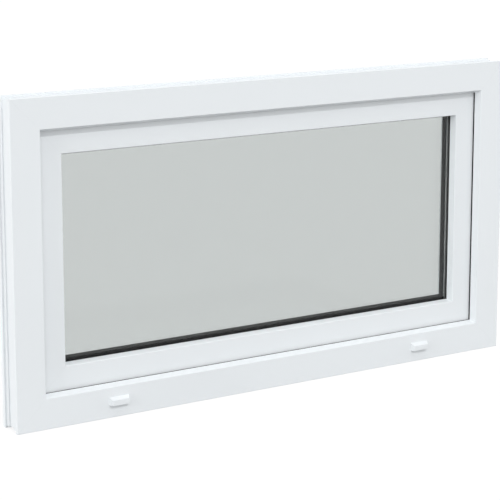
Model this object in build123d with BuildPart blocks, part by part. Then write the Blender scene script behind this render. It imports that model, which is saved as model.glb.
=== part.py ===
"""Tilt and turn window with a fixed outer frame, a glazed sash, drain caps, hinges and a handle.

Millimetres. +X runs to the right seen from outside, +Y runs into the building and +Z is up.
The origin is at the middle of the sill's rear foot, on the face that the window stands on.
Sections are drawn as (u, v): u runs inward from the outer edge of the frame, and v runs
inward from the exterior face.
"""
from build123d import *
import os

# Overall size
window_width = 1100.0
window_height = 600.0
frame_depth = 60.0

# Outer frame section
face_width = 57.0
slope_width = 5.5
flange_thickness = 13.5
frame_core_width = 42.0
frame_wall = 2.8
stiffener_chamber = 27.0
face_edge_radius = 1.0
frame_edge_radius = 1.0

# Feet and fixing channel on the outside of the frame
front_foot = 6.0
rear_foot = 10.0
shelf_recess = 3.0
channel_recess = 5.0
channel_start = 22.0
channel_width = 18.0

# Sash section
sash_setback = 18.0
sash_face_end = 106.4
return_width = 2.9
glazing_leg = 15.0
hinge_gap = 12.0
sash_core_width = 39.0
overlap_width = 8.0
overlap_gap = 4.0
overlap_thickness = 14.0
sash_wall = 2.8
sash_edge_radius = 2.0
overlap_edge_radius = 4.0
hardware_groove_width = 12.0
hardware_groove_depth = 4.0
hardware_groove_center = 51.0

# Glazing unit
glass_thickness = 4.0
glass_gap = 16.0
glass_edge_gap = 5.0
unit_lift = 2.5
edge_seal_width = 8.7
spacer_width = 6.6
spacer_chamfer = 1.5
outer_gasket_thickness = 2.0
outer_gasket_width = 8.0
inner_gasket_thickness = 3.0
inner_gasket_width = 8.0

# Glazing bead section
bead_sight_step = 3.0
bead_top_width = 7.0
bead_inset = 0.6
bead_wall = 1.8
bead_foot_depth = 2.6
bead_foot_width = 3.4
bead_foot_back = 3.0
bead_foot_clearance = 0.3

# Gaskets between frame and sash
rebate_gasket_inset = 0.4
rebate_gasket_width = 6.0
overlap_gasket_inset = 2.0

# Drain caps on the bottom member
cap_spacing = 690.0
cap_width = 41.0
cap_height = 15.0
cap_projection = 8.0
cap_base_height = 24.0
cap_top_slope = 5.0
cap_end_bevel = 3.5
cap_edge_radius = 0.8
cap_wall = 1.6
drain_slot_length = 28.0
drain_slot_height = 5.0
cap_clip_clearance = 1.0
cap_clip_thickness = 2.0
cap_clip_reach = 2.0

# Handle
rosette_width = 30.0
rosette_height = 66.0
rosette_thickness = 11.0
rosette_corner = 9.0
rosette_edge_radius = 2.5
neck_diameter = 18.0
neck_length = 26.0
grip_length = 118.0
grip_crown = 12.0
grip_width = 21.0
grip_tip_width = 17.0
grip_thickness = 12.0
grip_corner = 6.0
grip_edge_radius = 2.0

# Hinges
hinge_axis_inset = 25.0
barrel_diameter = 14.0
barrel_proud = 1.0
bearing_height = 30.0
band_height = 46.0
hinge_end_offset = 22.0
hinge_running_gap = 0.5
bearing_plate_width = 20.0
bearing_plate_height = 44.0
bearing_plate_thickness = 3.0
band_leaf_reach = 34.0
band_leaf_thickness = 3.0
hinge_edge_chamfer = 0.9

# Places worked out from the sizes above
half_width = window_width / 2
exterior_y = rear_foot / 2 - frame_depth
flange_end = face_width + slope_width
sash_outer = frame_core_width - overlap_width
sash_core_outer = frame_core_width + hinge_gap
glazing_rebate = sash_core_outer + sash_core_width
sash_inner = sash_face_end + return_width
sash_back = frame_depth + overlap_gap + overlap_thickness
leg_back = sash_setback + glazing_leg
glass_edge = glazing_rebate + glass_edge_gap
outer_pane_front = leg_back + outer_gasket_thickness
cavity_front = outer_pane_front + glass_thickness
cavity_back = cavity_front + glass_gap
unit_back = cavity_back + glass_thickness
bead_front = unit_back + inner_gasket_thickness
bead_back = sash_back - bead_inset
bead_inner = sash_inner - bead_sight_step
spacer_outer = glass_edge + edge_seal_width
spacer_inner = spacer_outer + spacer_width
bead_foot_end = bead_back - bead_foot_back
bead_foot_start = bead_foot_end - bead_foot_width
groove_start = bead_foot_start - bead_foot_clearance
groove_end = bead_foot_end + bead_foot_clearance
groove_floor = glazing_rebate - bead_foot_depth - bead_foot_clearance
hinge_axis_depth = sash_back + barrel_proud - barrel_diameter / 2

os.makedirs("parts", exist_ok=True)

# Each side of the window: middle of its outer edge, direction inward and direction along it
sides = {
    "bottom": ((0, exterior_y, 0), (0, 0, 1), (1, 0, 0)),
    "top": ((0, exterior_y, window_height), (0, 0, -1), (-1, 0, 0)),
    "left": ((-half_width, exterior_y, window_height / 2), (1, 0, 0), (0, 0, -1)),
    "right": ((half_width, exterior_y, window_height / 2), (-1, 0, 0), (0, 0, 1)),
}


def section_plane(side, offset=0):
    """Plane across a side, with u as its x and v as its y, offset from the side's middle."""
    middle, inward, along = sides[side]
    return Plane(origin=middle, x_dir=inward, z_dir=-Vector(*along)).offset(offset)


def elevation_plane(side):
    """Plane of the exterior face, with the side's length as its x and u as its y."""
    middle, _, along = sides[side]
    return Plane(origin=middle, x_dir=along, z_dir=(0, -1, 0))


def inward_plane(x, v, z):
    """Plane that faces into the building at a depth v, with Z as its y."""
    return Plane(origin=(x, exterior_y + v, z), x_dir=(-1, 0, 0), z_dir=(0, 1, 0))


def side_length(side):
    return window_width if side in ("bottom", "top") else window_height


def nearest_corner(section, u, v):
    """Corner of a section that lies nearest to (u, v)."""
    return section.vertices().sort_by_distance(Vector(u, v, 0))[0]


def chamber(u_start, u_end, v_start, v_end):
    """Hollow in a section, between two values of u and two of v."""
    with Locations(((u_start + u_end) / 2, (v_start + v_end) / 2)):
        Rectangle(u_end - u_start, v_end - v_start, mode=Mode.SUBTRACT)


def frame_section(plane):
    """Section of the outer frame: flange, core, feet, fixing channel and three chambers."""
    channel_end = channel_start + channel_width
    rear_foot_start = frame_depth - rear_foot
    with BuildSketch(plane) as section:
        with BuildLine():
            Polyline(
                (0, 0),
                (face_width, 0),
                (flange_end, flange_thickness),
                (frame_core_width, flange_thickness),
                (frame_core_width, frame_depth),
                (0, frame_depth),
                (0, rear_foot_start),
                (shelf_recess, rear_foot_start),
                (shelf_recess, channel_end),
                (channel_recess, channel_end),
                (channel_recess, channel_start),
                (shelf_recess, channel_start),
                (shelf_recess, front_foot),
                (0, front_foot),
                close=True,
            )
        make_face()
        fillet(nearest_corner(section, face_width, 0), face_edge_radius)
        fillet(nearest_corner(section, 0, 0), frame_edge_radius)
        fillet(nearest_corner(section, 0, frame_depth), frame_edge_radius)
        chamber_start = channel_recess + frame_wall
        core_end = frame_core_width - frame_wall
        stiffener_end = flange_thickness + stiffener_chamber
        chamber(shelf_recess + frame_wall, face_width - frame_wall, frame_wall,
                flange_thickness - frame_wall)
        chamber(chamber_start, core_end, flange_thickness, stiffener_end)
        chamber(chamber_start, core_end, stiffener_end + frame_wall, frame_depth - frame_wall)
    return section.sketch


def sash_section(plane):
    """Section of the sash: glazing leg, core, overlap, hardware groove and four chambers."""
    overlap_front = frame_depth + overlap_gap
    half_groove = hardware_groove_width / 2
    with BuildSketch(plane) as section:
        with BuildLine():
            Polyline(
                (sash_core_outer, sash_setback),
                (sash_face_end, sash_setback),
                (sash_inner, leg_back),
                (glazing_rebate, leg_back),
                (glazing_rebate, groove_start),
                (groove_floor, groove_start),
                (groove_floor, groove_end),
                (glazing_rebate, groove_end),
                (glazing_rebate, sash_back),
                (sash_outer, sash_back),
                (sash_outer, overlap_front),
                (sash_core_outer, overlap_front),
                (sash_core_outer, hardware_groove_center + half_groove),
                (sash_core_outer + hardware_groove_depth, hardware_groove_center + half_groove),
                (sash_core_outer + hardware_groove_depth, hardware_groove_center - half_groove),
                (sash_core_outer, hardware_groove_center - half_groove),
                close=True,
            )
        make_face()
        fillet(nearest_corner(section, sash_face_end, sash_setback), sash_edge_radius)
        fillet(nearest_corner(section, sash_outer, sash_back), overlap_edge_radius)
        core_start = sash_core_outer + sash_wall
        core_end = glazing_rebate - sash_wall
        web = leg_back + sash_wall
        chamber(core_start, core_end, sash_setback + sash_wall, web - sash_wall / 2)
        chamber(glazing_rebate, sash_face_end - 2 * sash_wall, sash_setback + sash_wall,
                leg_back - sash_wall)
        chamber(core_start + hardware_groove_depth, groove_floor - sash_wall,
                web + sash_wall / 2, overlap_front - sash_wall / 2)
        chamber(sash_outer + sash_wall, groove_floor - sash_wall, overlap_front + sash_wall,
                sash_back - sash_wall)
    return section.sketch


def bead_section(plane):
    """Section of the glazing bead: sloped face, clip foot and one chamber."""
    bead_top = glazing_rebate + bead_top_width
    with BuildSketch(plane) as section:
        with BuildLine():
            Polyline(
                (glazing_rebate, bead_front),
                (bead_inner, bead_front),
                (bead_inner, bead_front + bead_wall),
                (bead_top, bead_back),
                (glazing_rebate, bead_back),
                (glazing_rebate, bead_foot_end),
                (glazing_rebate - bead_foot_depth, bead_foot_end),
                (glazing_rebate - bead_foot_depth, bead_foot_start),
                (glazing_rebate, bead_foot_start),
                close=True,
            )
        make_face()
        fillet(nearest_corner(section, bead_top, bead_back), bead_wall)
        chamber(glazing_rebate + bead_wall, bead_top, bead_front + bead_wall,
                bead_back - bead_wall - bead_foot_width)
    return section.sketch


def mitred_member(name, side, draw_section, reach):
    """Extrudes a section along a side and cuts both of its ends at 45 degrees."""
    half_length = side_length(side) / 2
    section_start = section_plane(side, -half_length)
    with BuildPart() as member:
        extrude(draw_section(section_start), amount=2 * half_length, dir=section_start.z_dir)
        with BuildSketch(elevation_plane(side)):
            with BuildLine():
                Polyline(
                    (-half_length, 0),
                    (half_length, 0),
                    (half_length - reach, reach),
                    (reach - half_length, reach),
                    close=True,
                )
            make_face()
        extrude(amount=-2 * sash_back, mode=Mode.INTERSECT)
    member.part.label = name
    return member.part


def write_part(part, name):
    """Labels a finished piece and writes it to its own file."""
    part.label = name
    export_step(part, f"parts/{name}.step")


def closed_ring(name, outline, lift=0):
    """Sweeps a section, given as (u, v) corners, around the window, raised by lift."""
    with BuildPart() as ring:
        with BuildLine() as path:
            Polyline(
                (0, exterior_y, 0),
                (half_width, exterior_y, 0),
                (half_width, exterior_y, window_height),
                (-half_width, exterior_y, window_height),
                (-half_width, exterior_y, 0),
                close=True,
            )
        with BuildSketch(section_plane("bottom")):
            with BuildLine():
                Polyline(*outline, close=True)
            make_face()
        sweep(path=path.wires()[0], transition=Transition.RIGHT)
    write_part(Pos(0, 0, lift) * ring.part, name)


def rectangle_corners(u_start, u_end, v_start, v_end):
    return [(u_start, v_start), (u_end, v_start), (u_end, v_end), (u_start, v_end)]


# Frame, sash and glazing beads, four mitred members each
for side in sides:
    frame_member = mitred_member(f"frame_{side}", side, frame_section, flange_end + frame_wall)
    if side == "bottom":
        with BuildPart() as frame_bottom:
            add(frame_member)
            with BuildSketch(elevation_plane("bottom")):
                with Locations((-cap_spacing / 2, cap_base_height + cap_height / 2),
                               (cap_spacing / 2, cap_base_height + cap_height / 2)):
                    SlotOverall(drain_slot_length, drain_slot_height)
            extrude(amount=-frame_wall, mode=Mode.SUBTRACT)
        frame_member = frame_bottom.part
    write_part(frame_member, f"frame_{side}")
    write_part(mitred_member(f"sash_{side}", side, sash_section, sash_inner + sash_wall),
               f"sash_{side}")
    write_part(mitred_member(f"bead_{side}", side, bead_section, bead_inner + bead_wall),
               f"bead_{side}")

# Glazing unit: two panes, the spacer bar and the seal around it
for name, front in (("outer_pane", outer_pane_front), ("inner_pane", cavity_back)):
    with BuildPart() as pane:
        with BuildSketch(inward_plane(0, front, window_height / 2 + unit_lift)):
            Rectangle(window_width - 2 * glass_edge, window_height - 2 * glass_edge)
        extrude(amount=glass_thickness)
    write_part(pane.part, name)

closed_ring(
    "edge_seal",
    rectangle_corners(glass_edge, spacer_outer, cavity_front, cavity_back),
    unit_lift,
)
closed_ring(
    "spacer",
    [
        (spacer_outer, cavity_front),
        (spacer_inner - spacer_chamfer, cavity_front),
        (spacer_inner, cavity_front + spacer_chamfer),
        (spacer_inner, cavity_back),
        (spacer_outer, cavity_back),
    ],
    unit_lift,
)

# Gaskets
closed_ring(
    "glazing_gasket_outer",
    rectangle_corners(sash_inner - outer_gasket_width, sash_inner, leg_back, outer_pane_front),
)
closed_ring(
    "glazing_gasket_inner",
    rectangle_corners(bead_inner - inner_gasket_width, bead_inner, unit_back, bead_front),
)
gasket_end = flange_end - rebate_gasket_inset
closed_ring(
    "rebate_gasket",
    rectangle_corners(gasket_end - rebate_gasket_width, gasket_end, flange_thickness, sash_setback),
)
closed_ring(
    "overlap_gasket",
    rectangle_corners(sash_outer + overlap_gasket_inset, frame_core_width, frame_depth,
                      frame_depth + overlap_gap),
)


def tapered_hood(plane, inset, mode=Mode.ADD):
    """Lofted block, open side down, narrower at its front; inset from the cap's outside."""
    width = cap_width - 2 * inset
    height = cap_height - inset
    with BuildSketch(plane) as back:
        Rectangle(width, height, align=(Align.CENTER, Align.MIN))
    with BuildSketch(plane.offset(cap_projection - inset)) as front:
        Rectangle(width - 2 * cap_end_bevel, height - cap_top_slope, align=(Align.CENTER, Align.MIN))
    loft([back.sketch, front.sketch], mode=mode)


# Drain caps: hoods over the drain slots, open below, each held by a clip in its slot
for name, place in (("drain_cap_left", -cap_spacing / 2), ("drain_cap_right", cap_spacing / 2)):
    cap_plane = Plane(origin=(place, exterior_y, cap_base_height), x_dir=(1, 0, 0), z_dir=(0, -1, 0))
    with BuildPart() as drain_cap:
        tapered_hood(cap_plane, 0)
        front = drain_cap.faces().sort_by(Axis.Y)[0]
        fillet(front.edges().sort_by(Axis.Z)[1:], cap_edge_radius)
        tapered_hood(cap_plane, cap_wall, Mode.SUBTRACT)
        with BuildSketch(cap_plane.offset(cap_projection - cap_wall)):
            with Locations((0, cap_height / 2)):
                Rectangle(drain_slot_length - drain_slot_height - cap_clip_clearance, cap_clip_thickness)
        extrude(amount=-(cap_projection - cap_wall + frame_wall + cap_clip_reach))
    write_part(drain_cap.part, name)

# Handle on the inside of the left stile, in its closed position
handle_x = (sash_outer + glazing_rebate) / 2 - half_width
handle_z = window_height / 2
neck_start = sash_back + rosette_thickness
grip_start = neck_start + neck_length

with BuildPart() as handle_rosette:
    with BuildSketch(inward_plane(handle_x, sash_back, handle_z)):
        RectangleRounded(rosette_width, rosette_height, rosette_corner)
    extrude(amount=rosette_thickness)
    fillet(handle_rosette.faces().sort_by(Axis.Y)[-1].edges(), rosette_edge_radius)
write_part(handle_rosette.part, "handle_rosette")

with BuildPart() as handle_neck:
    with BuildSketch(inward_plane(handle_x, neck_start, handle_z)):
        Circle(neck_diameter / 2)
    extrude(amount=neck_length)
write_part(handle_neck.part, "handle_neck")

with BuildPart() as handle_lever:
    with BuildSketch(inward_plane(handle_x, grip_start, handle_z)) as grip_outline:
        with BuildLine():
            Polyline(
                (-grip_width / 2, grip_crown),
                (-grip_width / 2, -neck_diameter / 2),
                (-grip_tip_width / 2, -grip_length),
                (grip_tip_width / 2, -grip_length),
                (grip_width / 2, -neck_diameter / 2),
                (grip_width / 2, grip_crown),
                close=True,
            )
        make_face()
        fillet(grip_outline.vertices().group_by(Axis.Y)[0], grip_corner)
        fillet(grip_outline.vertices().group_by(Axis.Y)[-1], grip_corner)
    extrude(amount=grip_thickness)
    fillet(handle_lever.faces().sort_by(Axis.Y)[0].edges(), grip_edge_radius)
    fillet(handle_lever.faces().sort_by(Axis.Y)[-1].edges(), grip_edge_radius)
write_part(handle_lever.part, "handle_lever")


def hinge(bearing_name, band_name, base, up):
    """Hinge bearing on the frame and band on the sash, stacked from base along up (1 or -1)."""
    axis_x = half_width - hinge_axis_inset
    bearing_reach = hinge_axis_depth - frame_depth

    def level_plane(v, height):
        return Plane(origin=(axis_x, exterior_y + v, height), x_dir=(1, 0, 0), z_dir=(0, 0, up))

    with BuildPart() as bearing:
        with BuildSketch(level_plane(hinge_axis_depth, base)):
            Circle(barrel_diameter / 2)
        with BuildSketch(level_plane(frame_depth, base)):
            with Locations((0, up * bearing_reach / 2)):
                Rectangle(barrel_diameter, bearing_reach)
        extrude(amount=bearing_height)
        with BuildSketch(level_plane(frame_depth, base)):
            with Locations((0, up * bearing_plate_thickness / 2)):
                Rectangle(bearing_plate_width, bearing_plate_thickness)
        extrude(amount=bearing_plate_height)
    write_part(bearing.part, bearing_name)

    band_base = base + up * (bearing_height + hinge_running_gap)
    with BuildPart() as band:
        with BuildSketch(level_plane(hinge_axis_depth, band_base)):
            Circle(barrel_diameter / 2)
        with BuildSketch(level_plane(sash_back, band_base)):
            with Locations((-band_leaf_reach / 2, up * band_leaf_thickness / 2)):
                Rectangle(band_leaf_reach, band_leaf_thickness)
        extrude(amount=band_height)
        chamfer(band.faces().sort_by(Axis.Y)[-1].edges(), hinge_edge_chamfer)
    write_part(band.part, band_name)


hinge("corner_bearing", "corner_band", hinge_end_offset, 1)
hinge("stay_bearing", "stay_band", window_height - hinge_end_offset, -1)
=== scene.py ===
"""Looks of the tilt and turn window: materials, floor, light and camera. Metres."""
import math

import bpy
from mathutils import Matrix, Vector


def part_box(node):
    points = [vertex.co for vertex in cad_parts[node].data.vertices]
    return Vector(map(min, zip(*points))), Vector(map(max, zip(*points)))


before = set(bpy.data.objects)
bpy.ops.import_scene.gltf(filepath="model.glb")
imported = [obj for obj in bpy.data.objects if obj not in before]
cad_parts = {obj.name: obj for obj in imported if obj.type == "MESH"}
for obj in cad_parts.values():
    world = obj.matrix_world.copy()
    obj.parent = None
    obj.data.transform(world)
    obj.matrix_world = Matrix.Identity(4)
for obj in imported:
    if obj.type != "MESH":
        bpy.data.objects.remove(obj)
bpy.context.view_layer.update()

SIDES = ("bottom", "top", "left", "right")
MEMBER_NODES = [f"{kind}_{side}" for kind in ("frame", "sash", "bead") for side in SIDES]
PANE_NODES = ("outer_pane", "inner_pane")
GASKET_NODES = ("rebate_gasket", "overlap_gasket", "glazing_gasket_outer", "glazing_gasket_inner")
MOULDED_NODES = ("drain_cap_left", "drain_cap_right",
                 "corner_bearing", "corner_band", "stay_bearing", "stay_band")
HANDLE_NODES = ("handle_rosette", "handle_neck", "handle_lever")

# Sizes read from the frame
frame_low, frame_high = Vector(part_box("frame_left")[0]), Vector(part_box("frame_right")[1])
WINDOW_WIDTH = frame_high.x - frame_low.x
WINDOW_HEIGHT = frame_high.z - frame_low.z

# Colours, linear
WHITE_PLASTIC = (0.762, 0.794, 0.816)
WHITE_METAL = (0.768, 0.794, 0.811)
BLACK_RUBBER = (0.012, 0.012, 0.013)
DARK_SPACER = (0.0105, 0.012, 0.012)
# Painted highlight colour on the spacer's folded front edge
SPACER_HIGHLIGHT_COLOUR = (0.34, 0.34, 0.34)
GLASS_TINT = (0.7365, 0.7548, 0.7505)

GLASS_IOR = 1.35
SPACER_IOR = 1.12
RUBBER_IOR = 1.25
PLASTIC_IOR = 1.5

# Lowest and highest roughness of each surface
PROFILE_ROUGHNESS = (0.30, 0.38)
CAP_ROUGHNESS = (0.3, 0.4)
COAT_ROUGHNESS = (0.28, 0.36)
RUBBER_ROUGHNESS = (0.45, 0.6)
SEALANT_ROUGHNESS = (0.6, 0.75)
SPACER_ROUGHNESS = (0.4, 0.5)

# Extruded plastic: draw lines stretched along the member, uneven shade, grain and welds
LINE_SCALE = 420
LINE_STRETCH = 0.02
PROFILE_CLOUD_SCALE = 7
PROFILE_SHADES = (0.99, 1.01)
PROFILE_GRAIN_SCALE = 900
PROFILE_GRAIN_DEPTH = 0.00002
SEAM_HALF_WIDTH = 0.0004
SEAM_SHADE = 0.97

# Moulded and coated pieces
MOULDED_CLOUD_SCALE = 35
MOULDED_SHADES = (0.97, 1.03)
MOULDED_GRAIN_SCALE = 1400
MOULDED_GRAIN_DEPTH = 0.00008

# Painted highlight on the spacer's folded front edge, where it catches the light: depths from its
# front, the width of its upright sides and the highlight's shades
SPACER_HIGHLIGHT_START = 0.0012
SPACER_HIGHLIGHT_END = 0.0017
SPACER_SIDE_WIDTH = 0.0068
SPACER_HIGHLIGHT_SHADES = (0.85, 1.0)
SPACER_GRAIN_SCALE = 1200
SPACER_GRAIN_DEPTH = 0.00003

GLASS_RIPPLE_SCALE = 5
GLASS_RIPPLE_DEPTH = 0.00002

# Light: each lamp shines from its place to the origin
KEY_STRENGTH = 0.83
KEY_PLACE = (0.0, -4.0, 3.48)
KEY_SPREAD = math.radians(0.5)
FRONT_STRENGTH = 0.40
FRONT_PLACE = (-1.2, -4.0, 0.4)
LEFT_STRENGTH = 0.8
LEFT_PLACE = (-4.0, -0.95, 1.0)
SIDE_STRENGTH = 0.45
SIDE_PLACE = (-4.0, 1.6, 1.0)
RIGHT_STRENGTH = 0.5
RIGHT_PLACE = (4.0, -0.6, 0.8)
BACK_STRENGTH = 0.62
BACK_PLACE = (-1.8, 4.0, 0.9)
TOP_STRENGTH = 0.15
TOP_PLACE = (0.0, -0.8, 4.0)
FILL_SPREAD = math.radians(25)
AMBIENT = 0.8

# Floor: grey as a source of light, white to the eye with a share that the lamps light
FLOOR_SIZE = 60
FLOOR_BOUNCE = 0.40
FLOOR_GLOW = 0.86
FLOOR_LIT_SHARE = 0.15

# Camera fitted to the window's corners in the photograph, with a small lens shift
CAMERA_PLACE = (-1.8431, -2.8558, 1.0142)
CAMERA_YAW = math.radians(32.46)
CAMERA_PITCH = math.radians(10.91)
CAMERA_FOCAL_PIXELS = 1801.2
CAMERA_SHIFT = -0.1
CAMERA_CLIP_END = 100
PHOTO_WIDTH_PIXELS = 500
SENSOR_WIDTH = 36.0


class Nodes:
    """A material or world node tree, with short calls to add and link nodes."""

    def __init__(self, tree):
        self.tree = tree
        tree.nodes.clear()

    def add(self, kind, **values):
        node = self.tree.nodes.new(kind)
        for name, value in values.items():
            setattr(node, name, value)
        return node

    def link(self, source, target):
        self.tree.links.new(source, target)

    def math(self, operation, first, second=None):
        """The result of an operation on one or two values, numbers or outputs of other nodes."""
        node = self.add("ShaderNodeMath", operation=operation)
        for socket, value in zip(node.inputs, (first, second)):
            if value is None:
                continue
            if isinstance(value, (int, float)):
                socket.default_value = value
            else:
                self.link(value, socket)
        return node.outputs[0]

    def object_axes(self):
        """Object coordinates in metres, as separate outputs X, Y and Z."""
        place = self.add("ShaderNodeTexCoord")
        split = self.add("ShaderNodeSeparateXYZ")
        self.link(place.outputs["Object"], split.inputs[0])
        return split.outputs

    def seen_rays(self):
        """1 for the rays by which the camera, gloss and glass see a thing, else 0."""
        path = self.add("ShaderNodeLightPath")
        seen = self.math("MAXIMUM", path.outputs["Is Camera Ray"], path.outputs["Is Glossy Ray"])
        return self.math("MAXIMUM", seen, path.outputs["Is Transmission Ray"])


def new_material(name):
    material = bpy.data.materials.new(name)
    material.use_nodes = True
    nodes = Nodes(material.node_tree)
    output = nodes.add("ShaderNodeOutputMaterial")
    shader = nodes.add("ShaderNodeBsdfPrincipled")
    nodes.link(shader.outputs[0], output.inputs["Surface"])
    return material, nodes, shader, output


def object_point(nodes, stretch=(1, 1, 1)):
    """Object coordinates in metres, scaled along each axis."""
    place = nodes.add("ShaderNodeTexCoord")
    mapping = nodes.add("ShaderNodeMapping")
    mapping.inputs["Scale"].default_value = stretch
    nodes.link(place.outputs["Object"], mapping.inputs["Vector"])
    return mapping.outputs[0]


def noise(nodes, point, scale, detail=2):
    texture = nodes.add("ShaderNodeTexNoise")
    texture.inputs["Scale"].default_value = scale
    texture.inputs["Detail"].default_value = detail
    nodes.link(point, texture.inputs["Vector"])
    return texture.outputs["Fac"]


def spread(nodes, value, low, high):
    """Maps a value from 0..1 to low..high."""
    ramp = nodes.add("ShaderNodeMapRange")
    ramp.inputs["To Min"].default_value = low
    ramp.inputs["To Max"].default_value = high
    nodes.link(value, ramp.inputs["Value"])
    return ramp.outputs[0]


def tint(nodes, colour, factor):
    """A colour multiplied by a factor that varies over the surface."""
    scaled = nodes.add("ShaderNodeVectorMath", operation="SCALE")
    scaled.inputs[0].default_value = colour
    nodes.link(factor, scaled.inputs["Scale"])
    return scaled.outputs[0]


def bump(nodes, height, distance):
    node = nodes.add("ShaderNodeBump")
    node.inputs["Distance"].default_value = distance
    node.inputs["Strength"].default_value = 1.0
    nodes.link(height, node.inputs["Height"])
    return node.outputs[0]


def mitre_distance(nodes):
    """Distance in metres from the 45 degree joint of the nearest window corner."""
    axes = nodes.object_axes()
    across = nodes.math("SUBTRACT", WINDOW_WIDTH / 2, nodes.math("ABSOLUTE", axes["X"]))
    from_top = nodes.math("SUBTRACT", WINDOW_HEIGHT, axes["Z"])
    up = nodes.math("MINIMUM", axes["Z"], from_top)
    offset = nodes.math("ABSOLUTE", nodes.math("SUBTRACT", across, up))
    return nodes.math("MULTIPLY", offset, math.sqrt(0.5))


def profile_material(name, stretch):
    """Extruded white plastic: faint draw lines along its length and a cleaned weld at each mitre."""
    material, nodes, shader, _ = new_material(name)
    lines = noise(nodes, object_point(nodes, stretch), LINE_SCALE)
    clouds = noise(nodes, object_point(nodes), PROFILE_CLOUD_SCALE)
    grain = noise(nodes, object_point(nodes), PROFILE_GRAIN_SCALE)
    seam = nodes.math("LESS_THAN", mitre_distance(nodes), SEAM_HALF_WIDTH)
    shade = nodes.math("MULTIPLY", spread(nodes, clouds, *PROFILE_SHADES),
                       spread(nodes, seam, 1.0, SEAM_SHADE))
    nodes.link(tint(nodes, WHITE_PLASTIC, shade), shader.inputs["Base Color"])
    nodes.link(spread(nodes, lines, *PROFILE_ROUGHNESS), shader.inputs["Roughness"])
    height = nodes.math("ADD", nodes.math("MULTIPLY", lines, 0.5), nodes.math("MULTIPLY", grain, 0.5))
    nodes.link(bump(nodes, height, PROFILE_GRAIN_DEPTH), shader.inputs["Normal"])
    shader.inputs["IOR"].default_value = PLASTIC_IOR
    return material


def moulded_material(name, colour, roughness, ior=PLASTIC_IOR):
    """Moulded or coated surface with a fine grain and slight colour variation."""
    material, nodes, shader, _ = new_material(name)
    point = object_point(nodes)
    grain = noise(nodes, point, MOULDED_GRAIN_SCALE, detail=3)
    clouds = noise(nodes, point, MOULDED_CLOUD_SCALE)
    shade = spread(nodes, clouds, *MOULDED_SHADES)
    nodes.link(tint(nodes, colour, shade), shader.inputs["Base Color"])
    nodes.link(spread(nodes, clouds, *roughness), shader.inputs["Roughness"])
    nodes.link(bump(nodes, grain, MOULDED_GRAIN_DEPTH), shader.inputs["Normal"])
    shader.inputs["IOR"].default_value = ior
    return material


def spacer_material(name):
    """Dark spacer bar with a painted highlight along the folded front edge of its upright sides behind
    the outer pane.
    """
    material, nodes, shader, _ = new_material(name)
    low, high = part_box("spacer")
    axes = nodes.object_axes()
    # Painted highlight: a pale band over the front depths of the spacer's upright sides, mixed into the
    # base colour
    highlight_depth = nodes.add("ShaderNodeMapRange")
    highlight_depth.inputs["From Min"].default_value = low[1] + SPACER_HIGHLIGHT_START
    highlight_depth.inputs["From Max"].default_value = low[1] + SPACER_HIGHLIGHT_END
    highlight_depth.inputs["To Min"].default_value = 1.0
    highlight_depth.inputs["To Max"].default_value = 0.0
    nodes.link(axes["Y"], highlight_depth.inputs["Value"])
    across = nodes.math("ABSOLUTE", axes["X"])
    upright = nodes.math("GREATER_THAN", across, high[0] - SPACER_SIDE_WIDTH)
    highlight_mask = nodes.math("MULTIPLY", highlight_depth.outputs[0], upright)
    grain = noise(nodes, object_point(nodes), SPACER_GRAIN_SCALE)
    painted_highlight = nodes.math("MULTIPLY", highlight_mask, spread(nodes, grain, *SPACER_HIGHLIGHT_SHADES))
    mix = nodes.add("ShaderNodeMix", data_type="RGBA")
    nodes.link(painted_highlight, mix.inputs["Factor"])
    mix.inputs["A"].default_value = (*DARK_SPACER, 1)
    mix.inputs["B"].default_value = (*SPACER_HIGHLIGHT_COLOUR, 1)
    nodes.link(mix.outputs["Result"], shader.inputs["Base Color"])
    nodes.link(spread(nodes, grain, *SPACER_ROUGHNESS), shader.inputs["Roughness"])
    nodes.link(bump(nodes, grain, SPACER_GRAIN_DEPTH), shader.inputs["Normal"])
    shader.inputs["IOR"].default_value = SPACER_IOR
    return material


def glass_material(name):
    """Clear float glass with a faint tint. Light passes it, so that it casts a pale shadow."""
    material, nodes, shader, output = new_material(name)
    shader.inputs["Transmission Weight"].default_value = 1.0
    shader.inputs["Roughness"].default_value = 0.0
    shader.inputs["IOR"].default_value = GLASS_IOR
    shader.inputs["Base Color"].default_value = (*GLASS_TINT, 1)
    ripple = noise(nodes, object_point(nodes), GLASS_RIPPLE_SCALE, detail=1)
    nodes.link(bump(nodes, ripple, GLASS_RIPPLE_DEPTH), shader.inputs["Normal"])
    clear = nodes.add("ShaderNodeBsdfTransparent")
    clear.inputs["Color"].default_value = (*GLASS_TINT, 1)
    path = nodes.add("ShaderNodeLightPath")
    mix = nodes.add("ShaderNodeMixShader")
    nodes.link(path.outputs["Is Shadow Ray"], mix.inputs["Fac"])
    nodes.link(shader.outputs[0], mix.inputs[1])
    nodes.link(clear.outputs[0], mix.inputs[2])
    nodes.link(mix.outputs[0], output.inputs["Surface"])
    return material


def dress(node_names, material):
    """Puts a material on every slot of the CAD nodes."""
    for name in node_names:
        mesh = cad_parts[name].data
        if not mesh.materials:
            mesh.materials.append(material)
        for index in range(len(mesh.materials)):
            mesh.materials[index] = material


def dress_window():
    level = profile_material("white_plastic_level", (LINE_STRETCH, 1, 1))
    upright = profile_material("white_plastic_upright", (1, 1, LINE_STRETCH))
    for name in MEMBER_NODES:
        dress([name], level if name.endswith(("bottom", "top")) else upright)
    dress(PANE_NODES, glass_material("float_glass"))
    dress(GASKET_NODES, moulded_material("black_rubber", BLACK_RUBBER, RUBBER_ROUGHNESS, RUBBER_IOR))
    dress(["edge_seal"], moulded_material("black_sealant", BLACK_RUBBER, SEALANT_ROUGHNESS, RUBBER_IOR))
    dress(["spacer"], spacer_material("dark_spacer"))
    dress(MOULDED_NODES, moulded_material("white_moulding", WHITE_PLASTIC, CAP_ROUGHNESS))
    dress(HANDLE_NODES, moulded_material("white_coated_metal", WHITE_METAL, COAT_ROUGHNESS))


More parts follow.
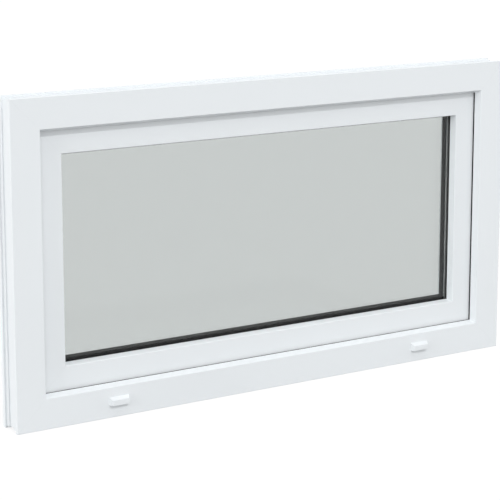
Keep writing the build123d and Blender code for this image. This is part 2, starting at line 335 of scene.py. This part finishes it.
def make_floor():
    """Plain pale floor: white to the eye, with the window's shadow on it."""
    bpy.ops.mesh.primitive_plane_add(size=FLOOR_SIZE, location=(0, 0, frame_low.z))
    floor = bpy.context.object
    floor.name = "floor"
    material, nodes, shader, output = new_material("pale_floor")
    nodes.tree.nodes.remove(shader)
    plain = nodes.add("ShaderNodeBsdfDiffuse")
    plain.inputs["Color"].default_value = (FLOOR_BOUNCE, FLOOR_BOUNCE, FLOOR_BOUNCE, 1)
    lit = nodes.add("ShaderNodeBsdfDiffuse")
    lit.inputs["Color"].default_value = (FLOOR_LIT_SHARE, FLOOR_LIT_SHARE, FLOOR_LIT_SHARE, 1)
    glow = nodes.add("ShaderNodeEmission")
    glow.inputs["Strength"].default_value = FLOOR_GLOW
    seen = nodes.add("ShaderNodeAddShader")
    nodes.link(lit.outputs[0], seen.inputs[0])
    nodes.link(glow.outputs[0], seen.inputs[1])
    mix = nodes.add("ShaderNodeMixShader")
    nodes.link(nodes.seen_rays(), mix.inputs["Fac"])
    nodes.link(plain.outputs[0], mix.inputs[1])
    nodes.link(seen.outputs[0], mix.inputs[2])
    nodes.link(mix.outputs[0], output.inputs["Surface"])
    floor.data.materials.append(material)


def make_world():
    """Even white surroundings: full white where seen, a plain ambient level as light."""
    world = bpy.data.worlds.new("white_surroundings")
    world.use_nodes = True
    bpy.context.scene.world = world
    nodes = Nodes(world.node_tree)
    output = nodes.add("ShaderNodeOutputWorld")
    background = nodes.add("ShaderNodeBackground")
    background.inputs["Color"].default_value = (1, 1, 1, 1)
    strength = nodes.math("MAXIMUM", nodes.seen_rays(), AMBIENT)
    nodes.link(strength, background.inputs["Strength"])
    nodes.link(background.outputs[0], output.inputs["Surface"])


def add_sun(name, place, strength, spread_angle=FILL_SPREAD):
    data = bpy.data.lights.new(name, "SUN")
    data.energy = strength
    data.angle = spread_angle
    lamp = bpy.data.objects.new(name, data)
    lamp.location = place
    lamp.rotation_euler = (-lamp.location).to_track_quat("-Z", "Y").to_euler()
    bpy.context.collection.objects.link(lamp)


def make_lights():
    add_sun("key_sun", KEY_PLACE, KEY_STRENGTH, KEY_SPREAD)
    add_sun("front_fill", FRONT_PLACE, FRONT_STRENGTH)
    add_sun("left_fill", LEFT_PLACE, LEFT_STRENGTH)
    add_sun("side_fill", SIDE_PLACE, SIDE_STRENGTH)
    add_sun("right_fill", RIGHT_PLACE, RIGHT_STRENGTH)
    add_sun("back_fill", BACK_PLACE, BACK_STRENGTH)
    add_sun("top_fill", TOP_PLACE, TOP_STRENGTH)


def make_camera():
    data = bpy.data.cameras.new("photo_camera")
    data.sensor_width = SENSOR_WIDTH
    data.lens = CAMERA_FOCAL_PIXELS / PHOTO_WIDTH_PIXELS * SENSOR_WIDTH
    data.shift_y = CAMERA_SHIFT
    data.clip_end = CAMERA_CLIP_END
    camera = bpy.data.objects.new("photo_camera", data)
    camera.location = CAMERA_PLACE
    camera.rotation_euler = (math.pi / 2 - CAMERA_PITCH, 0, -CAMERA_YAW)
    bpy.context.collection.objects.link(camera)
    bpy.context.scene.camera = camera


dress_window()
make_floor()
make_world()
make_lights()
make_camera()
bpy.context.scene.view_settings.view_transform = "Standard"
